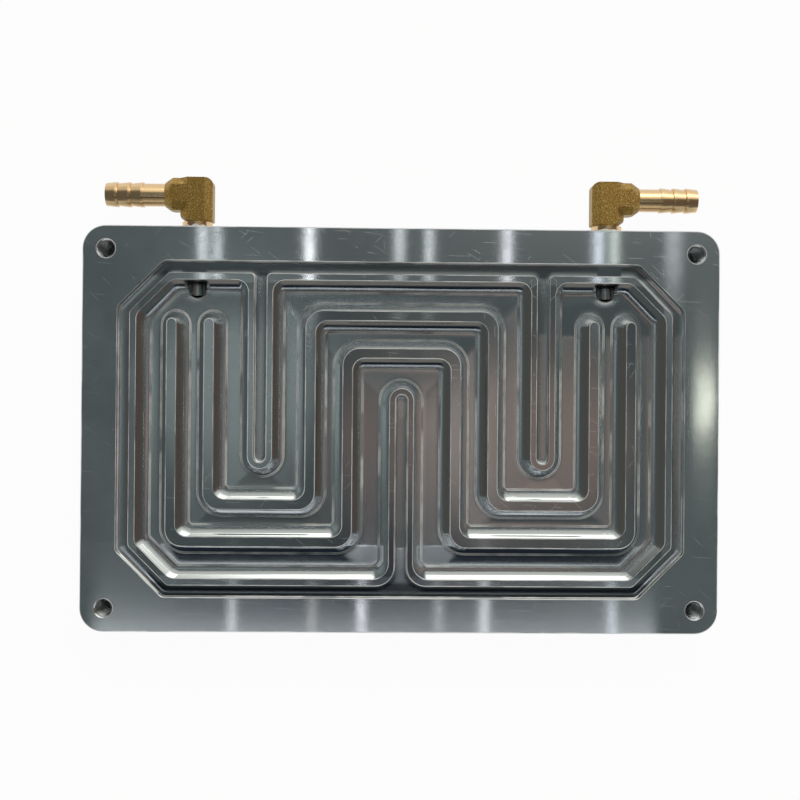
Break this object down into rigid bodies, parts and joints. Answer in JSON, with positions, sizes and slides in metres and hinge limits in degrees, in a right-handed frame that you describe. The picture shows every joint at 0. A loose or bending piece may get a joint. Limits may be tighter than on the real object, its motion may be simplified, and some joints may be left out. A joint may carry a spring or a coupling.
{
  "type": "liquid cooling cold plate",
  "caption": "Flat metal channel plate with a milled serpentine of parallel coolant channels, a seal groove, corner screw holes and brass hose-barb elbows on one edge.",
  "frame": {"origin": "centre of the plate's flat back face", "axes": "+Z out of the open channel face, +X along the plate's length, +Y towards the edge that carries the two elbows"},
  "size_m": [0.26, 0.1856, 0.02],
  "materials": {
    "milled_aluminium": "milled, bright, fine tool lines",
    "forged_brass": "forged body, bright turned barb",
    "thread_tape": "matt wound film"
  },
  "bodies": {
    "root": {"channel_plate": "milled_aluminium", "inlet_elbow": "forged_brass", "outlet_elbow": "forged_brass", "inlet_thread_tape": "thread_tape", "outlet_thread_tape": "thread_tape"}
  },
  "joints": []
}
